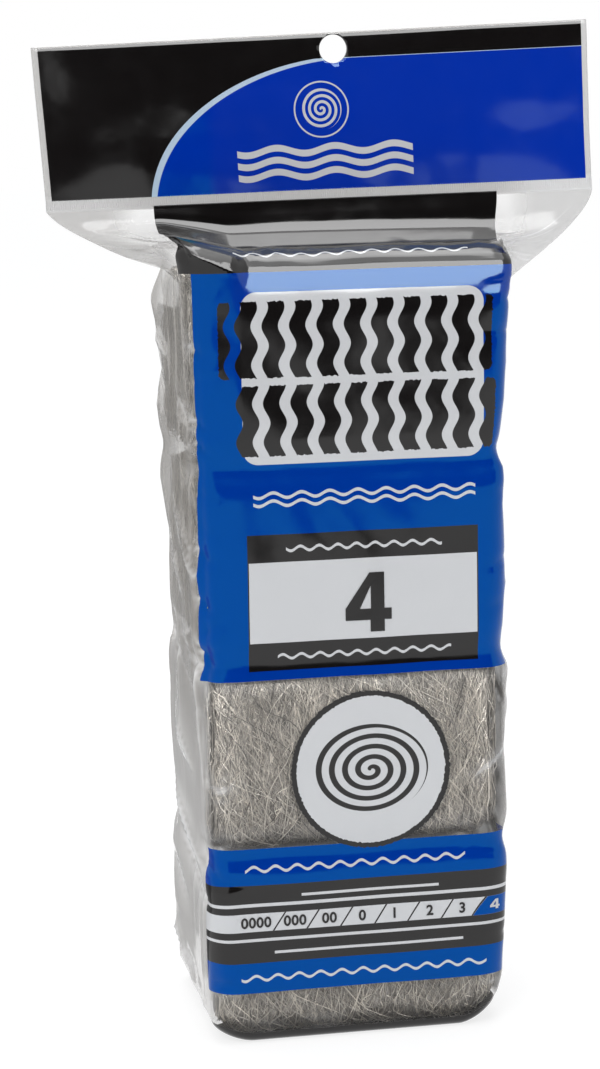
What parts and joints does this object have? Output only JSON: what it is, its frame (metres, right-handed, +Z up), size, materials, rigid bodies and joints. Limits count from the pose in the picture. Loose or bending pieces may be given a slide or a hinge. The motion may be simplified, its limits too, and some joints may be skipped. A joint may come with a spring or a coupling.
{
  "type": "bagged steel wool pads",
  "caption": "Coarse steel wool pads packed in rows inside a clear printed film bag that stands on its bottom or hangs by a punched header.",
  "frame": {"origin": "middle of the bag's box at the height of the face that it stands on", "axes": "+Z up towards the header, -Y towards the printed front, +X to the right of it"},
  "size_m": [0.1796, 0.076, 0.323],
  "materials": {
    "printed_film": "glossy clear film, partly covered by opaque print",
    "steel_wool": "dull tangled strands with bright glints"
  },
  "bodies": {
    "root": {"film_bag": "printed_film", "wool_pad_row1_layer1": "steel_wool", "wool_pad_row1_layer2": "steel_wool", "wool_pad_row1_layer3": "steel_wool", "wool_pad_row1_layer4": "steel_wool", "wool_pad_row2_layer1": "steel_wool", "wool_pad_row2_layer2": "steel_wool", "wool_pad_row2_layer3": "steel_wool", "wool_pad_row2_layer4": "steel_wool", "wool_pad_row3_layer1": "steel_wool", "wool_pad_row3_layer2": "steel_wool", "wool_pad_row3_layer3": "steel_wool", "wool_pad_row3_layer4": "steel_wool", "wool_pad_row4_layer1": "steel_wool", "wool_pad_row4_layer2": "steel_wool", "wool_pad_row4_layer3": "steel_wool", "wool_pad_row4_layer4": "steel_wool"}
  },
  "joints": []
}
